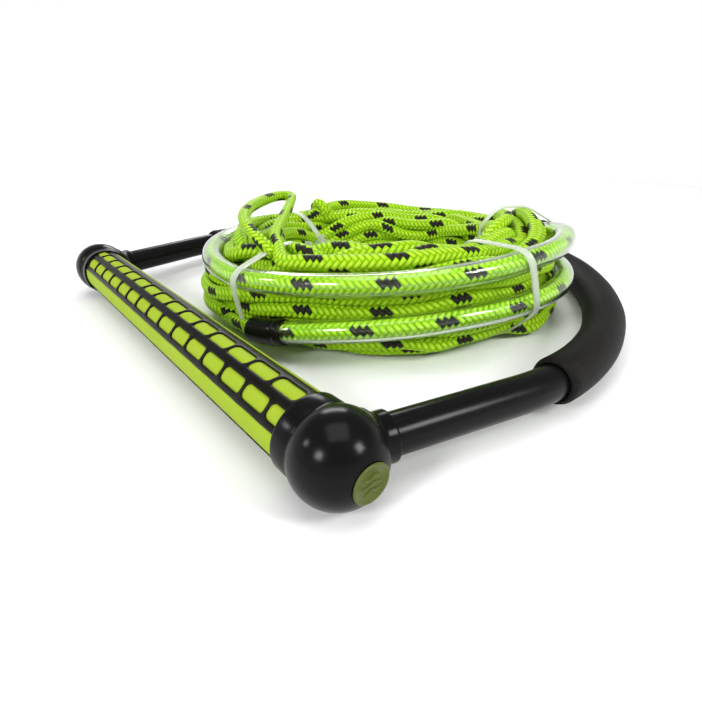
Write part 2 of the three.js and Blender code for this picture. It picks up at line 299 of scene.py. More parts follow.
def ring_faces(rings, sides, first=0, flip=False, closed=False):
    faces = []
    for i in range(rings if closed else rings - 1):
        a, b = first + i * sides, first + ((i + 1) % rings) * sides
        for k in range(sides):
            n = (k + 1) % sides
            face = (a + k, a + n, b + n, b + k)
            faces.append(face[::-1] if flip else face)
    return faces


def tube_object(name, points, radii, sides, bore=None):
    """A closed tube along points, solid, or hollow with the radii in bore."""
    outer = tube_points(points, radii, sides)
    rings = len(points)
    faces = ring_faces(rings, sides)
    last = (rings - 1) * sides
    if bore is None:
        verts = np.vstack([outer, points[:1], points[-1:]])
        start, end = len(outer), len(outer) + 1
        for k in range(sides):
            n = (k + 1) % sides
            faces.append((start, n, k))
            faces.append((end, last + k, last + n))
    else:
        inner = tube_points(points, bore, sides)
        first = len(outer)
        verts = np.vstack([outer, inner])
        faces += ring_faces(rings, sides, first, flip=True)
        for k in range(sides):
            n = (k + 1) % sides
            faces.append((first + k, first + n, n, k))
            faces.append((last + k, last + n, first + last + n, first + last + k))
    return mesh_object(name, verts, faces)


def lathe_object(name, profile, segments, origin, along):
    """Turns a profile of (radius, distance) about the line through origin along a direction."""
    along = np.array(along, float) / np.linalg.norm(along)
    side = np.cross(along, (0, 0, 1)) if abs(along[2]) < 0.9 else np.cross(along, (1, 0, 0))
    side /= np.linalg.norm(side)
    other = np.cross(along, side)
    angles = np.arange(segments) * 2 * math.pi / segments
    verts = []
    for radius, distance in profile:
        for a in angles:
            outward = math.cos(a) * side + math.sin(a) * other
            verts.append(np.array(origin) + along * distance + radius * outward)
    obj = mesh_object(name, verts, ring_faces(len(profile), segments))
    weld(obj)
    return obj


def weld(obj, distance=1e-6):
    work = bmesh.new()
    work.from_mesh(obj.data)
    bmesh.ops.remove_doubles(work, verts=work.verts, dist=distance)
    bmesh.ops.dissolve_degenerate(work, edges=work.edges, dist=1e-7)
    bmesh.ops.recalc_face_normals(work, faces=work.faces)
    work.to_mesh(obj.data)
    work.free()


def join(name, parts):
    """Joins mesh objects into the first one."""
    bpy.ops.object.select_all(action="DESELECT")
    for part in parts:
        part.select_set(True)
    bpy.context.view_layer.objects.active = parts[0]
    bpy.ops.object.join()
    parts[0].name = name
    parts[0].data.name = name
    return parts[0]


def bevel(obj, width, segments=3, angle=35):
    modifier = obj.modifiers.new("bevel", "BEVEL")
    modifier.width = width * MM
    modifier.segments = segments
    modifier.limit_method = "ANGLE"
    modifier.angle_limit = angle * DEG
    modifier.harden_normals = False


def finish_piece(obj, body, material, slot, *nodes):
    obj.data.materials.clear()
    obj.data.materials.append(material)
    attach(obj, body)
    if nodes:
        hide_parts(*nodes)
    return obj


# ---- material helpers


class Shader:
    """A short way to write a node tree: most calls add a node and give its output."""

    def __init__(self, name):
        self.material = bpy.data.materials.new(name)
        self.material.use_nodes = True
        self.tree = self.material.node_tree
        self.surface = self.tree.nodes["Principled BSDF"]
        self.output = self.tree.nodes["Material Output"]

    def node(self, kind, **values):
        made = self.tree.nodes.new(kind)
        for key, value in values.items():
            setattr(made, key, value)
        return made

    def connect(self, source, target):
        if isinstance(source, (int, float, tuple)):
            target.default_value = source
        else:
            self.tree.links.new(source, target)

    def math(self, operation, *inputs):
        made = self.node("ShaderNodeMath", operation=operation)
        for value, socket in zip(inputs, made.inputs):
            self.connect(value, socket)
        return made.outputs[0]

    def mix(self, factor, low, high):
        made = self.node("ShaderNodeMix", data_type="FLOAT")
        for value, socket in zip((factor, low, high), (made.inputs[0], made.inputs[2], made.inputs[3])):
            self.connect(value, socket)
        return made.outputs[0]

    def mix_colour(self, factor, low, high, blend="MIX"):
        made = self.node("ShaderNodeMix", data_type="RGBA", blend_type=blend)
        for value, socket in zip((factor, low, high), (made.inputs[0], made.inputs[6], made.inputs[7])):
            self.connect(value, socket)
        return made.outputs[2]

    def ramp(self, factor, stops):
        made = self.node("ShaderNodeValToRGB")
        elements = made.color_ramp.elements
        while len(elements) < len(stops):
            elements.new(0.5)
        for element, (place, colour) in zip(elements, stops):
            element.position = place
            element.color = (*colour, 1)
        self.connect(factor, made.inputs[0])
        return made.outputs[0]

    def noise(self, scale, detail=3, roughness=0.5, vector=None, output=0):
        made = self.node("ShaderNodeTexNoise")
        made.inputs["Scale"].default_value = scale
        made.inputs["Detail"].default_value = detail
        made.inputs["Roughness"].default_value = roughness
        self.tree.links.new(vector or self.coordinates("Object"), made.inputs["Vector"])
        return made.outputs[output]

    def coordinates(self, kind):
        return self.node("ShaderNodeTexCoord").outputs[kind]

    def bumped(self, height, distance, strength=1.0, after=None):
        made = self.node("ShaderNodeBump")
        made.inputs["Strength"].default_value = strength
        made.inputs["Distance"].default_value = distance
        self.connect(height, made.inputs["Height"])
        if after is not None:
            self.connect(after, made.inputs["Normal"])
        return made.outputs[0]

    def set(self, **values):
        for key, value in values.items():
            self.connect(value, self.surface.inputs[key.replace("_", " ")])
        return self.material


def speckled_colour(shader, low, high, scale):
    return shader.mix_colour(shader.noise(scale, 4), (*low, 1), (*high, 1))


def rope_material(name, layer="braid"):
    """A hollow braid of twelve carriers. The layer's U runs once round the rope and V once a braid pitch."""
    s = Shader(name)
    uv = s.node("ShaderNodeUVMap", uv_map=layer)
    split = s.node("ShaderNodeSeparateXYZ")
    s.tree.links.new(uv.outputs[0], split.inputs[0])
    wander = s.noise(90, 2)
    round_, along = split.outputs[0], s.math("ADD", split.outputs[1], s.math("MULTIPLY", wander, 0.03))
    a = s.math("MULTIPLY", s.math("SUBTRACT", round_, along), 6)
    b = s.math("MULTIPLY", s.math("ADD", round_, along), 6)
    a_cell, b_cell = s.math("FLOOR", a), s.math("FLOOR", b)
    a_in, b_in = s.math("FRACT", a), s.math("FRACT", b)
    place = s.math("FLOORED_MODULO", s.math("ADD", a_cell, b_cell), 4)
    other = s.math("GREATER_THAN", place, 1.5)
    float_place = s.math("FLOORED_MODULO", place, 2)
    across = s.mix(other, a_in, b_in)
    length = s.math("MULTIPLY", s.math("ADD", float_place, s.mix(other, b_in, a_in)), 0.5)
    across_arch = s.math("SINE", s.math("MULTIPLY", across, math.pi))
    length_arch = s.math("SINE", s.math("MULTIPLY", length, math.pi))
    height = s.math("MULTIPLY", s.math("POWER", across_arch, 0.6),
                    s.math("ADD", 0.25, s.math("MULTIPLY", s.math("POWER", length_arch, 0.5), 0.75)))
    drift = s.math("MULTIPLY", s.noise(420, 2), 7)
    fibre = s.math("SINE", s.math("ADD", s.math("MULTIPLY", across, 30), drift))
    fibre = s.math("ADD", 0.5, s.math("MULTIPLY", fibre, 0.5))
    column = s.math("FLOOR", s.math("MULTIPLY", s.math("ADD", a_cell, b_cell), 0.25))
    order = s.math("ADD", a_cell, s.math("MULTIPLY", column, 2))
    marker = s.math("LESS_THAN", s.math("FLOORED_MODULO", s.math("ADD", order, 0.01), 12), 3)
    marker = s.math("MULTIPLY", marker, s.math("LESS_THAN", other, 0.5))
    # Colour follows each strand's height: painted shade in the crevices and where strands dip under, a painted
    # highlight on their crowns, plus real fibre stripes along each strand.
    painted_shade_and_highlight = s.math("ADD", s.math("MULTIPLY", height, 0.72), s.math("MULTIPLY", fibre, 0.28))
    lime = s.ramp(painted_shade_and_highlight, [(0.0, (0.085, 0.225, 0.001)), (0.35, (0.245, 0.510, 0.003)),
                          (0.70, (0.385, 0.670, 0.009)), (1.0, (0.600, 0.800, 0.090))])
    patchy = s.mix_colour(s.noise(14, 2), (0.76, 0.86, 0.6, 1), (1.16, 1.08, 1.2, 1))
    lime = s.mix_colour(1.0, lime, patchy, "MULTIPLY")
    # The black tracer carriers get the same painted shade and painted highlight by height.
    black = s.ramp(painted_shade_and_highlight, [(0.0, (0.003, 0.003, 0.002)), (1.0, (0.026, 0.024, 0.020))])
    colour = s.mix_colour(marker, lime, black)
    relief = s.math("ADD", height, s.math("MULTIPLY", fibre, 0.10))
    return s.set(Base_Color=colour, Roughness=s.mix(fibre, 0.34, 0.50), Specular_IOR_Level=0.10,
                 Normal=s.bumped(relief, 0.0009, 1.0))


def black_gloss_material(name, roughness=0.15, shine=0.11, grain=900, relief=0.00002):
    s = Shader(name)
    colour = speckled_colour(s, (0.0030, 0.0030, 0.0030), (0.0060, 0.0060, 0.0058), 40)
    rough = s.mix(s.noise(60, 3), roughness, roughness + 0.09)
    return s.set(Base_Color=colour, Roughness=rough, Specular_IOR_Level=shine,
                 Normal=s.bumped(s.noise(grain, 3), relief, 0.5))


def rubber_material():
    s = Shader("panel_rubber")
    colour = speckled_colour(s, (0.0035, 0.0033, 0.0025), (0.0080, 0.0075, 0.0060), 300)
    return s.set(Base_Color=colour, Roughness=s.mix(s.noise(500, 3), 0.24, 0.40), Specular_IOR_Level=0.09,
                 Normal=s.bumped(s.noise(1400, 4), 0.00006, 0.6))


def lime_foam_material():
    s = Shader("grip_lime_foam")
    colour = speckled_colour(s, (0.285, 0.405, 0.022), (0.335, 0.455, 0.034), 120)
    pores = s.noise(2600, 3, 0.6)
    return s.set(Base_Color=s.mix_colour(s.math("MULTIPLY", pores, 0.3), colour, (0.25, 0.36, 0.015, 1)),
                 Roughness=s.mix(pores, 0.50, 0.68), Specular_IOR_Level=0.05,
                 Normal=s.bumped(pores, 0.00008, 0.7))


def black_foam_material():
    s = Shader("float_foam")
    pores = s.noise(1500, 4, 0.65)
    speck = s.noise(420, 3)
    colour = s.ramp(s.math("ADD", s.math("MULTIPLY", pores, 0.6), s.math("MULTIPLY", speck, 0.4)),
                    [(0.30, (0.004, 0.0035, 0.0032)), (0.55, (0.010, 0.0092, 0.0085)),
                     (0.80, (0.022, 0.0205, 0.019))])
    return s.set(Base_Color=colour, Roughness=s.mix(pores, 0.45, 0.70), Specular_IOR_Level=0.08,
                 Normal=s.bumped(pores, 0.00014, 0.8))


def badge_material():
    s = Shader("badge_olive")
    colour = speckled_colour(s, (0.070, 0.092, 0.014), (0.100, 0.125, 0.026), 260)
    return s.set(Base_Color=colour, Roughness=s.mix(s.noise(400, 3), 0.26, 0.40), Specular_IOR_Level=0.15,
                 Normal=s.bumped(s.noise(1200, 3), 0.00003, 0.5))


def let_light_through(s, clearness):
    """Lamps shine through a clear wall, as they do through a thin real one."""
    path = s.node("ShaderNodeLightPath")
    clear = s.node("ShaderNodeBsdfTransparent")
    clear.inputs[0].default_value = (clearness, clearness, clearness, 1)
    mixed = s.node("ShaderNodeMixShader")
    s.tree.links.new(path.outputs["Is Shadow Ray"], mixed.inputs[0])
    s.tree.links.new(s.surface.outputs[0], mixed.inputs[1])
    s.tree.links.new(clear.outputs[0], mixed.inputs[2])
    s.tree.links.new(mixed.outputs[0], s.output.inputs["Surface"])


def tubing_material():
    s = Shader("clear_vinyl")
    let_light_through(s, 0.94)
    haze = s.mix(s.noise(70, 3), 0.06, 0.13)
    return s.set(Base_Color=(0.77, 0.84, 0.75, 1), Transmission_Weight=1.0, IOR=1.42, Roughness=haze,
                 Normal=s.bumped(s.noise(160, 2), 0.00012, 0.35))


def nylon_material():
    s = Shader("natural_nylon")
    let_light_through(s, 0.75)
    colour = speckled_colour(s, (0.56, 0.62, 0.50), (0.68, 0.73, 0.62), 180)
    return s.set(Base_Color=colour, Transmission_Weight=0.45, IOR=1.4,
                 Roughness=s.mix(s.noise(300, 3), 0.24, 0.38),
                 Normal=s.bumped(s.noise(900, 3), 0.00004, 0.5))


def metal_material():
    s = Shader("tube_aluminium")
    return s.set(Base_Color=speckled_colour(s, (0.52, 0.53, 0.55), (0.62, 0.63, 0.65), 200), Metallic=1.0,
                 Roughness=s.mix(s.noise(500, 3), 0.28, 0.42))


# ---- rope: how its turns lie


def tubing_height(degrees):
    angles, heights = zip(*TUBING_CLIMB)
    return np.interp(degrees, angles, heights)


def tubing_reach(degrees):
    angles, radii = zip(*TUBING_REACH)
    return np.interp(degrees, angles, radii)


def coil_point(degrees, radius, z):
    degrees = np.asarray(degrees, float)
    x = COIL[0] + radius * np.cos(degrees * DEG)
    y = COIL[1] + radius * np.sin(degrees * DEG)
    return np.stack(np.broadcast_arrays(x, y, z), -1)


def foot_bulge_at(phi):
    return 7 * bump(phi, -118, 7) + 5 * bump(phi, -80, 9)


def settled_turns(seed=7, rounds=800):
    """Radius and height of every turn at every station round the coil.

    The turns start as a stack with a little wander. Then weight, the rope's stiffness, the tubing, the ties
    and the turns' own thickness move them until they lie on each other. Last, the stack is stretched to the
    height that COIL_TOPS gives at each station. Turn 0 is the uppermost.
    """
    rng = np.random.default_rng(seed)
    phi = np.arange(STATIONS) * 360 / STATIONS - 180
    angles, tops = zip(*COIL_TOPS)
    top = np.interp(phi, angles, tops)
    inner = np.clip(COIL_OUTER - TURNS * TURN_AREA / (top - COIL_BOTTOM), COIL_INNER_LEAST, None)
    low, high = inner + ROPE_D / 2, COIL_OUTER - ROPE_D / 2
    middle, half = (low + high) / 2, (high - low) / 2
    pinch = sum(bump(phi, angle, TIE_PINCH_WIDTH) for angle, _, _ in TIES)
    columns = COLUMNS
    slots = []
    for index in range(TURNS + 1):
        layer, place = divmod(index, columns)
        column = columns - 1 - place if layer % 2 == 0 else place
        nest = 0.22 if layer % 2 else -0.22
        slots.append(((column + nest) / (columns - 1), 6 + layer * 9.2, layer, column))
    slots.reverse()
    radius = np.zeros((TURNS, STATIONS))
    height = np.zeros((TURNS, STATIONS))
    for turn in range(TURNS):
        change = 40 + rng.uniform(-60, 60)
        t = smoothstep(change - 40, change + 40, phi)
        f0, z0, layer, column = slots[turn]
        f1, z1, _, next_column = slots[turn + 1]
        wander = np.zeros(STATIONS)
        for n in (1, 2, 3, 4, 6):
            wander += rng.normal(0, 2.4 / n) * np.cos(n * phi * DEG + rng.uniform(0, 2 * math.pi))
        radius[turn] = low + (high - low) * (f0 + (f1 - f0) * t) + wander
        height[turn] = z0 + (z1 - z0) * t
        if columns - 1 in (column, next_column) and layer <= 4:
            radius[turn] += LEFT_BULGE * bump(phi, 160, 24)
        if columns - 1 in (column, next_column):
            radius[turn] += RIGHT_BULGE * bump(phi, -50, 24) * (layer != 2)
            radius[turn] += (layer == 0) * foot_bulge_at(phi)
    near = 0.4 + 0.6 * (0.5 - 0.5 * np.cos((phi - 60) * DEG))
    radius[0] = 91 + near * 7 * np.cos((phi + 155) * DEG)
    radius[1] = 87 - near * 12 * np.sin((phi + 100) * DEG)
    radius[2] = 85 + near * 11 * np.sin((2 * phi + 60) * DEG)
    radius[3] = 89 - near * 11 * np.sin((2 * phi + 20) * DEG)
    height[0] += 10
    height[1] += 6
    height[2] += 3
    radius[:12] += 9 * bump(phi, 143, 27) * smoothstep(86, 104, radius[:12])
    wanted = radius.copy()
    laps = []
    for lap in (0, 1):
        degrees = phi + 360 * lap
        present = (degrees >= TUBING_START - 8) & (degrees <= TUBING_END + 4)
        laps.append((present[None, :], tubing_height(degrees)[None, :], tubing_reach(degrees)[None, :]))
    left_bulge = (LEFT_BULGE * bump(phi, 159, 27))[None, :]
    right_bulge = (RIGHT_BULGE * bump(phi, -52, 22))[None, :]
    foot_bulge = foot_bulge_at(phi)[None, :]
    shoulder = (7 * bump(phi, 143, 29))[None, :]
    bulge = left_bulge + right_bulge + foot_bulge
    lowest = COIL_BOTTOM + ROPE_D / 2
    apart = np.eye(TURNS)[:, :, None] * 1e3
    corner = 12.0
    corner_r, corner_z = high - corner, COIL_BOTTOM + ROPE_D / 2 + corner
    for step in range(rounds):
        late = step / rounds
        height -= 0.30 * (1 - 0.6 * late)
        radius += 0.02 * (wanted - radius)
        for values in (radius, height):
            line = values.reshape(-1)
            bend = np.zeros_like(line)
            bend[1:-1] = 0.5 * (line[:-2] + line[2:]) - line[1:-1]
            kink = np.zeros_like(line)
            kink[1:-1] = bend[1:-1] - 0.5 * (bend[:-2] + bend[2:])
            line += 0.25 * bend + 0.3 * kink
        for _ in range(3 if late < 0.9 else 6):
            dr = radius[:, None, :] - radius[None, :, :]
            dz = height[:, None, :] - height[None, :, :]
            distance = np.sqrt(dr * dr + dz * dz) + apart + 1e-6
            push = np.clip(ROPE_D - distance, 0, None) / distance
            share = np.maximum(1, 0.6 * (push > 0).sum(1))
            radius += 0.5 * (dr * push).sum(1) / share
            height += 0.5 * (dz * push).sum(1) / share
            for present, tube_z, tube_r in laps:
                dr, dz = radius - tube_r, height - tube_z
                distance = np.sqrt(dr * dr + dz * dz) + 1e-6
                short = np.clip(TUBING_R + ROPE_D / 2 + 0.1 - distance, 0, None)
                push = np.where(present, short, 0) / distance
                radius += dr * push
                height += dz * push
            limit = high + left_bulge * (height < 36) + foot_bulge * (height < 10) + shoulder * (height > 44)
            limit = limit + right_bulge * ((height < 24) | (height > 34))
            radius[:] = np.clip(radius, low, limit)
            off_centre = np.clip((radius - middle) / half, -1, 1)
            sag = np.where(off_centre < 0, 4 + 11 * pinch, 2 + 4 * pinch) * np.abs(off_centre) ** 2.5
            height[:] = np.clip(height, lowest, top - ROPE_D / 2 - sag)
            er, ez = radius - corner_r, corner_z - height
            reach = np.maximum(np.hypot(er, ez), 1e-6)
            out = (er > 0) & (ez > 0) & (reach > corner) & (bulge < 4)
            radius[:] = np.where(out, corner_r + er * corner / reach, radius)
            height[:] = np.where(out, corner_z - ez * corner / reach, height)
    wanted_top = np.interp(phi, angles, tops) - ROPE_D / 2 - lowest
    stretch = wanted_top / (height.max(0) - lowest)
    kernel = np.array((1, 2, 3, 2, 1)) / 9
    stretch = np.convolve(np.concatenate([stretch[-2:], stretch, stretch[:2]]), kernel, "valid")
    return phi, radius, lowest + (height - lowest) * stretch[None, :]


PHI, TURN_R, TURN_Z = settled_turns()


def rope_line():
    """The whole rope: eye, turns from the top down, the stretch in the tubing, and the tail to the knot."""
    eye = [(BAR_X + x / MM, y / MM, z / MM) for x, y, z in EYE_ROUTE]
    eye = spline(eye)
    last = TURN_R.shape[0] - 1
    out = smoothstep(132, 178, PHI)
    radius, height = TURN_R.copy(), TURN_Z.copy()
    radius[last] += out * (tubing_reach(-178) - radius[last])
    height[last] += out * (tubing_height(-178) - height[last])
    degrees = np.tile(PHI, TURNS)
    turns = coil_point(degrees, radius.reshape(-1), height.reshape(-1))[4:]
    sleeve_angles = np.arange(TUBING_START + 1, TUBING_END, 4.0)
    sleeve = coil_point(sleeve_angles, tubing_reach(sleeve_angles), tubing_height(sleeve_angles))
    tail = spline([coil_point(*place) for place in TAIL_ROUTE])
    line = np.vstack([eye, turns, sleeve, tail])
    return relax(resample(line, 4.0), 4)


def rope_mesh(name, line, sides, spacing, thin_until=-100):
    line = resample(line, spacing)
    rng = np.random.default_rng(11)
    count = len(line)
    gone = np.arange(count) * np.linalg.norm(line[1] - line[0])
    wobble = np.zeros(count)
    for wave in (41.0, 67.0, 113.0, 190.0):
        wobble += 0.016 * np.sin(2 * math.pi * gone / wave + rng.uniform(0, 6))
    angles = np.arange(sides) * 2 * math.pi / sides
    squash = 0.045 + 0.03 * np.sin(gone / 60.0)
    lean = 0.7 * np.sin(gone / 140.0)
    oval = squash[:, None] * np.cos(2 * (angles[None, :] - lean[:, None]))
    radii = ROPE_D / 2 * (1 + wobble[:, None] + oval)
    taper = np.clip(np.minimum(gone, gone[-1] - gone) / 3.0, 0, 1)
    thin = EYE_THINNING + (1 - EYE_THINNING) * smoothstep(thin_until - 40, thin_until + 20, gone)
    radii = radii * ((0.72 + 0.28 * np.sqrt(taper)) * thin)[:, None]
    obj = tube_object(name, line, radii, sides)
    u = np.tile(np.arange(sides) / sides, count)
    v = np.repeat(gone / BRAID_PITCH, sides)
    uv = np.stack([u, v], 1)
    uv = np.vstack([uv, [[0.5, 0], [0.5, gone[-1] / BRAID_PITCH]]])
    add_uv(obj, "braid", uv, wrap_u=1.0)
    return obj, line


rope_finish = rope_material("rope_braid")
rope, rope_path = rope_mesh("tow_rope", rope_line(), 14, 2.65, thin_until=260)
print("rope length m", round(float(np.linalg.norm(np.diff(rope_path, axis=0), axis=1).sum()) * MM, 3))
finish_piece(rope, "rope_set", rope_finish, "rope", "rope_coil", "rope_eye", "rope_in_tubing")


def knot_piece():
    """One and a half turns of the rope round itself, near its end."""
    at = [np.array(coil_point(KNOT_ANGLE + a, KNOT_REACH + r, 0)) for a, r in ((-4, 2), (4, -2))]
    axis = at[1] - at[0]
    axis /= np.linalg.norm(axis)
    up = np.array((0, 0, 1.0))
    side = np.cross(axis, up)
    centre = (at[0] + at[1]) / 2 + up * (KNOT_HEIGHT + 0.4)
    t = np.linspace(0, 1, 60)
    turn = t * 2 * math.pi * 1.6 + 2.2
    spread = 6.3 - 1.6 * (2 * np.abs(t - 0.5)) ** 4
    line = centre[None, :] + axis[None, :] * ((t - 0.5) * 10)[:, None]
    line = line + (np.cos(turn) * spread)[:, None] * side[None, :]
    line = line + (np.sin(turn) * spread)[:, None] * up[None, :]
    knot, _ = rope_mesh("rope_knot_wrap", line, 14, 2.0, thin_until=500)
    return finish_piece(knot, "rope_set", rope_finish, "rope", "rope_knot")


knot = knot_piece()

# ---- tubing, ferrules and ties


def tubing_line(start, end, step=1.5):
    angles = np.linspace(start, end, int((end - start) / step) + 1)
    line = coil_point(angles, tubing_reach(angles), tubing_height(angles))
    return relax(resample(line, 3.0), 6)


def tubing_piece():
    line = tubing_line(TUBING_START + 5, TUBING_END - 5)
    tubing = tube_object("vinyl_tubing", line, TUBING_R, 32, bore=TUBING_BORE_R)
    return finish_piece(tubing, "rope_set", tubing_material(), "tubing", "clear_tubing")


def ferrule_piece(name, node, start, end, finish):
    """Heat-shrunk cap: it grips the rope at its outer end and steps up over the tubing."""
    line = resample(tubing_line(start, end, 0.5), 0.5)
    t = np.linspace(0, 1, len(line))
    if end < 0:
        t = t[::-1]
    radii = 7.35 - 1.9 * smoothstep(0.90, 1.0, t) - 0.35 * smoothstep(0.05, 0.0, t)
    radii += 0.22 * np.exp(-((t - 0.12) / 0.03) ** 2) - 0.12 * np.exp(-((t - 0.2) / 0.04) ** 2)
    cap = tube_object(name, line, radii, 40, bore=np.full(len(line), ROPE_D / 2 + 0.25))
    return finish_piece(cap, "rope_set", finish, "ferrule", node)


def hull(points):
    """The convex outline of 2-D points, counter-clockwise."""
    points = sorted(map(tuple, np.round(points, 4)))

    def half(sequence):
        chain = []
        for p in sequence:
            while len(chain) > 1:
                (ax, ay), (bx, by) = chain[-2], chain[-1]
                if (bx - ax) * (p[1] - ay) - (by - ay) * (p[0] - ax) > 0:
                    break
                chain.pop()
            chain.append(p)
        return chain[:-1]

    return np.array(half(points) + half(points[::-1]))


def tie_outline(degrees):
    """The line that a tie takes round the turns and the tubing, as (radius, height)."""
    round_ = np.linspace(0, 2 * math.pi, 24, endpoint=False)
    circle = np.stack([np.cos(round_), np.sin(round_)], 1)
    spots = []
    station = (degrees + 180) / 360 * STATIONS
    before = int(math.floor(station)) % STATIONS
    after = (before + 1) % STATIONS
    share = station - math.floor(station)
    turn_r = TURN_R[:, before] * (1 - share) + TURN_R[:, after] * share
    turn_z = TURN_Z[:, before] * (1 - share) + TURN_Z[:, after] * share
    for r, z in zip(turn_r, turn_z):
        spots.append(np.array((r, z)) + circle * (ROPE_D / 2 + 0.15))
    for lap in (0, 360):
        if TUBING_START + 2 < degrees + lap < TUBING_END:
            place = np.array((tubing_reach(degrees + lap), tubing_height(degrees + lap)))
            spots.append(place + circle * (TUBING_R + 0.2))
    outline = hull(np.vstack(spots))
    outline = np.vstack([outline, outline[:1]])
    gone = distance_along(outline)
    count = 160
    at = np.linspace(0, gone[-1], count + 1)[:-1]
    outline = np.stack([np.interp(at, gone, outline[:, i]) for i in (0, 1)], 1)
    for _ in range(14):
        outline = 0.5 * outline + 0.25 * (np.roll(outline, 1, 0) + np.roll(outline, -1, 0))
    centre = outline.mean(0)
    away = outline - centre
    away /= np.linalg.norm(away, axis=1)[:, None]
    outline = outline + away * (TIE_WALL / 2 + 0.3)
    outline[:, 1] = np.maximum(outline[:, 1], 0.4 + TIE_WALL / 2)
    return outline


def tie_piece(index, degrees, lean, head_height, finish):
    outline = tie_outline(degrees + lean / 2)
    count = len(outline)
    tangent = np.roll(outline, -1, 0) - np.roll(outline, 1, 0)
    tangent /= np.linalg.norm(tangent, axis=1)[:, None]
    normal = np.stack([tangent[:, 1], -tangent[:, 0]], 1)
    w, h = TIE_WIDTH / 2, TIE_WALL / 2
    section = [(-w, -h * 0.5), (-w + 0.5, -h), (w - 0.5, -h), (w, -h * 0.5), (w, h * 0.5), (w - 0.6, h),
               (0.9, h), (0.7, h - 0.14), (-0.7, h - 0.14), (-0.9, h), (-w + 0.6, h), (-w, h * 0.5)]
    up = np.array((0, 0, 1.0))
    origin = np.array((COIL[0], COIL[1], 0))
    top = outline[:, 1].max()

    def axes(z):
        angle = (degrees + lean * z / top) * DEG
        out = np.array((math.cos(angle), math.sin(angle), 0))
        return out, np.array((-out[1], out[0], 0))

    verts = []
    for i in range(count):
        tooth = 0.16 if i % 2 else 0.0
        out, side = axes(outline[i, 1])
        for sx, sn in section:
            inset = tooth if sn == -h else 0.0
            rz = outline[i] + normal[i] * (sn + inset)
            verts.append(origin + out * rz[0] + up * rz[1] + side * sx)
    faces = ring_faces(count, len(section), closed=True)
    strap = mesh_object(f"tie_strap_{index}", verts, faces)
    weld(strap)
    on_outer_wall = outline[:, 0] > outline[:, 0].mean()
    wall = outline[np.argmin(np.abs(outline[:, 1] - head_height) + 100 * on_outer_wall)]
    out, side = axes(wall[1])
    centre = origin + out * (wall[0] - 1.7) + up * wall[1]
    head = block(f"tie_head_{index}", centre, out, side, up, (5.0, 7.4, 6.6), 0.9)
    stub = block(f"tie_stub_{index}", centre + up * 5.2 - out * 0.3, out, side, up, (1.2, 4.4, 5.4), 0.3)
    slot = block(f"tie_slot_{index}", centre - out * 2.4, out, side, up, (0.8, 4.2, 3.2), 0.25)
    tie = join(f"nylon_tie_{index}", [strap, head, stub, slot])
    return finish_piece(tie, "rope_set", finish, "nylon", f"cable_tie_{index}")


def block(name, centre, x_axis, y_axis, z_axis, size, edge):
    """A rounded box on three axes."""
    work = bmesh.new()
    bmesh.ops.create_cube(work, size=1.0)
    for vertex in work.verts:
        x, y, z = vertex.co.x * size[0], vertex.co.y * size[1], vertex.co.z * size[2]
        vertex.co = Vector((centre + x_axis * x + y_axis * y + z_axis * z) * MM)
    bmesh.ops.bevel(work, geom=list(work.edges), offset=edge * MM, segments=3, profile=0.5, affect="EDGES")
    bmesh.ops.recalc_face_normals(work, faces=work.faces)
    mesh = bpy.data.meshes.new(name)
    work.to_mesh(mesh)
    work.free()
    return add_object(name, mesh)


vinyl = tubing_piece()
cap_finish = black_gloss_material("ferrule_black", 0.16)
front_cap = ferrule_piece("ferrule_front", "tubing_ferrule_front", TUBING_START,
                          TUBING_START + FERRULE_SWEEP, cap_finish)
back_cap = ferrule_piece("ferrule_back", "tubing_ferrule_back", TUBING_END - FERRULE_SWEEP, TUBING_END,
                         cap_finish)
nylon_finish = nylon_material()
ties = [tie_piece(i + 1, *place, nylon_finish) for i, place in enumerate(TIES)]

# ---- grip bar


def window_list():
    """(row, low end, high end) of each window along the bar."""
    windows = []
    for row in range(2):
        for i in range(-9, 10):
            middle = WINDOW_DATUM + (i + row / 2) * WINDOW_PITCH
            low = max(middle - WINDOW_HALF_LENGTH, -WINDOW_LIMIT)
            high = min(middle + WINDOW_HALF_LENGTH, WINDOW_LIMIT)
            if high - low > 5:
                windows.append((row, low, high))
    return windows


WINDOWS = window_list()


def window_distance(y, across):
    """Distance from the nearest window's edge, negative inside it. across starts at the front edge."""
    y, across = np.broadcast_arrays(np.asarray(y, float), np.asarray(across, float))
    best = np.full(y.shape, 1e9)
    for row, low, high in WINDOWS:
        middle_s = ROW_ANGLES[row] * DEG * PANEL_R
        dy = np.abs(y - (low + high) / 2) - ((high - low) / 2 - WINDOW_CORNER)
        ds = np.abs(across - middle_s) - (WINDOW_HALF_WIDTH - WINDOW_CORNER)
        outside = np.hypot(np.maximum(dy, 0), np.maximum(ds, 0))
        inside = np.minimum(np.maximum(dy, ds), 0)
        best = np.minimum(best, outside + inside - WINDOW_CORNER)
    return best


def window_loop(row, low, high, offset, count=10):
    middle_s = ROW_ANGLES[row] * DEG * PANEL_R
    half_y, half_s = (high - low) / 2 - WINDOW_CORNER, WINDOW_HALF_WIDTH - WINDOW_CORNER
    middle_y = (low + high) / 2
    loop = []
    for quarter, (sy, ss) in enumerate(((1, 1), (-1, 1), (-1, -1), (1, -1))):
        for i in range(count):
            angle = (quarter + (i + 0.5) / count) * math.pi / 2
            radius = WINDOW_CORNER + offset
            loop.append((middle_y + sy * half_y + radius * math.cos(angle),
                         middle_s + ss * half_s + radius * math.sin(angle)))
    return loop


def scallop_at(y):
    """The small wave in a panel's front edge."""
    return 0.22 * np.cos((y - WINDOW_DATUM) * 2 * math.pi / WINDOW_PITCH)


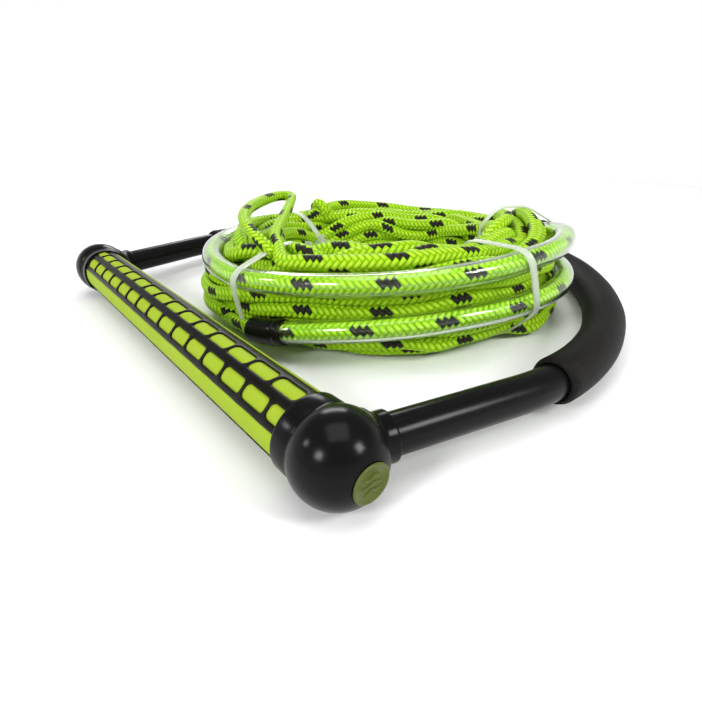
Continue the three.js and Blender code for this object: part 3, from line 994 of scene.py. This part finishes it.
def panel_piece(word, finish):
    """A moulded panel with rounded windows, cut from a flat sheet and bent round the sleeve."""
    front, turn = PANEL_SPAN[word]
    width = PANEL_WIDTH * DEG * PANEL_R
    points, edges = [], []

    def add_loop(loop):
        start = len(points)
        points.extend(loop)
        edges.extend((start + i, start + (i + 1) % len(loop)) for i in range(len(loop)))

    for offset in (0.0, 0.3, 0.7):
        low, high = offset, width - offset
        half = GRIP_HALF - 1 - offset
        ys = np.linspace(-half, half, 90)
        loop = [(y, low + w) for y, w in zip(ys, scallop_at(ys))]
        loop += [(half, s) for s in np.linspace(low, high, 22)[1:-1]]
        loop += [(y, high) for y in ys[::-1]]
        loop += [(-half, s) for s in np.linspace(high, low, 22)[1:-1]]
        add_loop(loop)
    for row, low, high in WINDOWS:
        for offset in (0.0, 0.28, 0.62):
            add_loop(window_loop(row, low, high, offset))
    for s in np.arange(1.1, width - 0.9, 1.2):
        for y in np.arange(-GRIP_HALF + 2.5, GRIP_HALF - 2, 2.4):
            if window_distance(y, s) > 0.95:
                points.append((y, float(s)))
    verts, _, faces, *_ = geometry.delaunay_2d_cdt([Vector(p) for p in points], edges, [], 0, 1e-5)
    flat = np.array([(v.x, v.y) for v in verts])
    middles = np.array([flat[list(f)].mean(0) for f in faces])
    gap = window_distance(middles[:, 0], middles[:, 1])
    kept = (gap > 0) & (middles[:, 1] > scallop_at(middles[:, 0])) & (middles[:, 1] < width)
    faces = [f for f, keep in zip(faces, kept) if keep]
    wall = window_distance(flat[:, 0], flat[:, 1])
    edge = np.minimum(wall, np.minimum(flat[:, 1], width - flat[:, 1]))
    crown = np.clip(edge / 0.75, 0, 1)
    radius = 15.0 + 0.42 * np.sqrt(np.clip(1 - (1 - crown) ** 2, 0, 1))
    ridge_s = (ROW_ANGLES[0] + ROW_ANGLES[1]) / 2 * DEG * PANEL_R
    radius += 0.22 * np.exp(-((flat[:, 1] - ridge_s) / 0.9) ** 2) * crown
    angle = (front * DEG) + turn * flat[:, 1] / PANEL_R
    xyz = np.stack([BAR_X + radius * np.cos(angle), flat[:, 0], BAR_Z + radius * np.sin(angle)], 1)
    if turn > 0:
        faces = [tuple(reversed(f)) for f in faces]
    panel = mesh_object(f"window_panel_{word}", xyz, faces)
    weld(panel, 1e-6)
    outward_normals(panel)
    solidify = panel.modifiers.new("thickness", "SOLIDIFY")
    solidify.thickness = 1.1 * MM
    solidify.offset = -1
    return finish_piece(panel, "handle", finish, "panel", f"grip_panel_{word}")


def outward_normals(obj):
    """Turns an open shell's faces away from the bar's axis."""
    work = bmesh.new()
    work.from_mesh(obj.data)
    work.faces.ensure_lookup_table()
    bmesh.ops.recalc_face_normals(work, faces=work.faces)
    axis = Vector((BAR_X * MM, 0, BAR_Z * MM))
    score = 0
    for face in work.faces:
        away = face.calc_center_median() - axis
        away.y = 0
        score += face.normal.dot(away)
    if score < 0:
        bmesh.ops.reverse_faces(work, faces=work.faces)
    work.to_mesh(obj.data)
    work.free()


def sleeve_piece(finish):
    """The foam sleeve, standing proud as a soft pillow in each window and in the two plain strips."""
    sides, rings = 150, 400
    half = GRIP_HALF - 0.4
    ys = np.linspace(-half, half, rings)
    angles = np.arange(sides) * 360 / sides
    y, angle = np.meshgrid(ys, angles, indexing="ij")
    radius = np.full(y.shape, 14.98)
    for front, turn in PANEL_SPAN.values():
        across = ((turn * (angle - front)) % 360) * DEG * PANEL_R
        within = across < PANEL_WIDTH * DEG * PANEL_R
        wall = window_distance(y, across)
        dome = 14.55 + 0.62 * (1 - (1 - np.clip(-wall / 3.0, 0, 1)) ** 2)
        covered = np.where(wall < 0, dome, SLEEVE_BASE)
        radius = np.where(within, covered, radius)
    x = BAR_X + radius * np.cos(angle * DEG)
    z = BAR_Z + radius * np.sin(angle * DEG)
    verts = np.stack([x, y, z], -1).reshape(-1, 3)
    sleeve = mesh_object("foam_grip", verts, ring_faces(rings, sides))
    weld(sleeve)
    outward_normals(sleeve)
    return finish_piece(sleeve, "handle", finish, "foam_lime", "grip_sleeve")


sleeve_piece(lime_foam_material())
panel_finish = rubber_material()
for word in PANEL_SPAN:
    panel_piece(word, panel_finish)
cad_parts["grip_tube"].data.materials.clear()
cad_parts["grip_tube"].data.materials.append(metal_material())

# ---- hubs


def arm_offset(reach):
    return HUB_Y - HOSE_INSET + reach * math.tan(ARM_SPLAY)


def hose_point(reach, y):
    return np.array((BAR_X + reach, y, BAR_Z + (11.0 - BAR_Z) * reach / LOOP_REACH))


def hub_piece(word, side, finish):
    profile = [(11.5, -COLLAR_FLOOR), (COLLAR_CUP_R, -COLLAR_FLOOR), (COLLAR_CUP_R, -COLLAR_FACE + 0.3)]
    for i in range(5):
        angle = math.pi - i / 4 * math.pi
        profile.append((COLLAR_CUP_R + 0.45 + 0.45 * math.cos(angle),
                        -COLLAR_FACE + 0.3 - 0.3 * math.sin(angle)))
    first, last = -math.acos(COLLAR_R / HUB_R), math.asin(HUB_FLAT / HUB_R)
    profile.append((COLLAR_R, -COLLAR_FACE + 1.2))
    profile.append((COLLAR_R, HUB_R * math.sin(first) - 1.0))
    profile.append((COLLAR_R - 0.25, HUB_R * math.sin(first) - 0.3))
    for i in range(33):
        angle = first + 0.02 + (last - first - 0.02) * i / 32
        profile.append((HUB_R * math.cos(angle), HUB_R * math.sin(angle)))
    flat_r = HUB_R * math.cos(last)
    profile += [(flat_r - 0.15, HUB_FLAT + 0.12), (flat_r - 0.35, HUB_FLAT), (0.0, HUB_FLAT)]
    centre = np.array((BAR_X, side * HUB_Y, BAR_Z))
    ball = lathe_object(f"hub_ball_{word}", profile, 96, centre, (0, side, 0))
    start = hose_point(HOSE_START, side * arm_offset(HOSE_START))
    end = hose_point(NECK_END + 4, side * arm_offset(NECK_END + 4))
    direction = (end - start) / np.linalg.norm(end - start)
    neck_profile = [(8.4, -1.0), (8.4, 9.0)]
    for i in range(7):
        angle = math.pi - i / 6 * math.pi / 2
        neck_profile.append((9.2 + 0.8 * math.cos(angle), 9.0 + 0.6 * math.sin(angle)))
    neck_profile += [(9.7, 9.55), (9.95, 9.2), (NECK_R, 8.6), (NECK_R, 5.6), (10.25, 4.4), (10.9, 3.2),
                     (12.4, 1.6), (12.6, -1.0), (8.4, -1.0)]
    neck = lathe_object(f"hub_neck_{word}", neck_profile, 64, start, direction)
    hub = join(f"hub_shell_{word}", [ball, neck])
    return finish_piece(hub, "handle", finish, "hub", f"hub_{word}")


def badge_piece(word, side, finish):
    """A plain round badge: a rim and three ripples of different lengths."""
    centre = np.array((BAR_X, side * HUB_Y, BAR_Z))
    base = HUB_FLAT + 0.3
    profile = [(0.0, base), (BADGE_R - 0.2, base), (BADGE_R, base + 0.2), (BADGE_R, base + 0.6)]
    profile += [(BADGE_R - 0.25, base + 0.85), (BADGE_R - 0.7, base + 0.9), (BADGE_R - 0.95, base + 0.8)]
    profile += [(BADGE_R - 1.2, base + 0.55), (0.0, base + 0.55)]
    disc = lathe_object(f"badge_disc_{word}", profile, 72, centre, (0, side, 0))
    parts = [disc]
    out = np.array((0, side, 0.0))
    level = np.array((1.0, 0, 0))
    for row, (height, half) in enumerate(((2.6, 3.6), (0.0, 4.6), (-2.6, 3.6))):
        t = np.linspace(-1, 1, 33)
        wave = height + 0.45 * np.sin(t * math.pi * 1.5 + row)
        line = (centre + out * (base + 0.5))[None, :] + np.outer(t * half, level)
        line = line + np.outer(wave, (0, 0, 1.0))
        widths = 0.62 * np.sqrt(np.clip(1 - np.abs(t) ** 4, 0.02, 1))
        parts.append(tube_object(f"badge_ripple_{word}_{row}", line, widths, 12))
    badge = join(f"badge_{word}", parts)
    return finish_piece(badge, "handle", finish, "badge", f"hub_badge_{word}")


hub_finish = black_gloss_material("hub_gloss", 0.16)
badge_finish = badge_material()
for word, side in (("left", 1), ("right", -1)):
    hub_piece(word, side, hub_finish)
    badge_piece(word, side, badge_finish)

# ---- hose and float


def half_hose(side, steps=90):
    a = np.array((ARM_REACH, arm_offset(ARM_REACH)))
    b = a + BEND_HANDLE_ARM * np.array((math.cos(ARM_SPLAY), math.sin(ARM_SPLAY)))
    c, d = np.array((LOOP_REACH, BEND_HANDLE_TIP)), np.array((LOOP_REACH, 0.0))
    straight = np.linspace(HOSE_START, ARM_REACH, 14)[:-1]
    plan = [np.array((reach, arm_offset(reach))) for reach in straight]
    for t in np.linspace(0, 1, steps):
        plan.append(a * (1 - t) ** 3 + 3 * b * t * (1 - t) ** 2 + 3 * c * t * t * (1 - t) + d * t ** 3)
    return np.array([hose_point(x, side * y) for x, y in plan])


def hose_line():
    return resample(np.vstack([half_hose(-1), half_hose(1)[::-1][1:]]), 4.0)


def hose_piece(line, finish):
    hose = tube_object("loop_hose", line, HOSE_R, 48, bore=5.6)
    return finish_piece(hose, "handle", finish, "hose", "bridle_hose")


def float_piece(line, finish):
    covered = resample(line[line[:, 0] > BAR_X + FLOAT_START], 2.5)
    t = np.linspace(0, 1, len(covered))
    gone = np.minimum(np.arange(len(covered)), np.arange(len(covered))[::-1]) * 2.5
    radii = FLOAT_R - 0.35 * np.sin(t * math.pi) ** 2 + 0.06 * np.sin(t * 47) + 0.05 * np.sin(t * 83 + 1)
    radii -= 0.9 * (1 - np.sqrt(np.clip(1 - (1 - np.clip(gone / 1.6, 0, 1)) ** 2, 0, 1)))
    foam = tube_object("foam_float", covered, radii, 56, bore=np.full(len(covered), HOSE_R + 0.35))
    return finish_piece(foam, "handle", finish, "foam_black", "float_sleeve")


loop_line = hose_line()
hose_piece(loop_line, black_gloss_material("hose_gloss", 0.2, shine=0.12, grain=500, relief=0.00003))
float_piece(loop_line, black_foam_material())

# ---- stage


def make_floor():
    edge = [(FLOOR_R * math.cos(i * 3 * DEG), FLOOR_R * math.sin(i * 3 * DEG), 0) for i in range(120)]
    floor = mesh_object("floor", edge, [range(120)], smooth=False)
    s = Shader("floor_pale")
    colour = speckled_colour(s, (0.90, 0.90, 0.90), (0.93, 0.93, 0.93), 3)
    floor.data.materials.append(s.set(Base_Color=colour, Roughness=0.8, Specular_IOR_Level=0.2))


def area_light(name, place, target, size, power, size_y=None):
    data = bpy.data.lights.new(name, "AREA")
    data.energy = power
    data.shape = "RECTANGLE"
    data.size = size
    data.size_y = size_y or size
    light = add_object(name, data)
    light.location = Vector(place)
    light.rotation_euler = (Vector(target) - Vector(place)).to_track_quat("-Z", "Y").to_euler()


def make_sky():
    """A pale band round the horizon under a dimmer ceiling, as in a studio with a white sweep."""
    world = bpy.data.worlds.new("studio")
    world.use_nodes = True
    tree = world.node_tree
    coordinates = tree.nodes.new("ShaderNodeTexCoord")
    split = tree.nodes.new("ShaderNodeSeparateXYZ")
    ramp = tree.nodes.new("ShaderNodeValToRGB")
    tree.links.new(coordinates.outputs["Generated"], split.inputs[0])
    tree.links.new(split.outputs[2], ramp.inputs[0])
    tree.links.new(ramp.outputs[0], tree.nodes["Background"].inputs[0])
    low, high = ramp.color_ramp.elements
    low.position, low.color = SKY_BAND[0], (1, 1, 1, 1)
    high.position, high.color = SKY_BAND[1], (SKY_CEILING, SKY_CEILING, SKY_CEILING, 1)
    tree.nodes["Background"].inputs[1].default_value = 1.0
    bpy.context.scene.world = world


def make_lights():
    for name, azimuth, elevation, distance, size, size_y, power in SOFTBOXES:
        flat = distance * math.cos(elevation * DEG)
        height = distance * math.sin(elevation * DEG)
        place = (flat * math.cos(azimuth * DEG), flat * math.sin(azimuth * DEG), height)
        area_light(name, place, (0, 0, 0.03), size, power, size_y)


make_floor()
make_sky()
make_lights()
bpy.context.scene.view_settings.view_transform = "Standard"
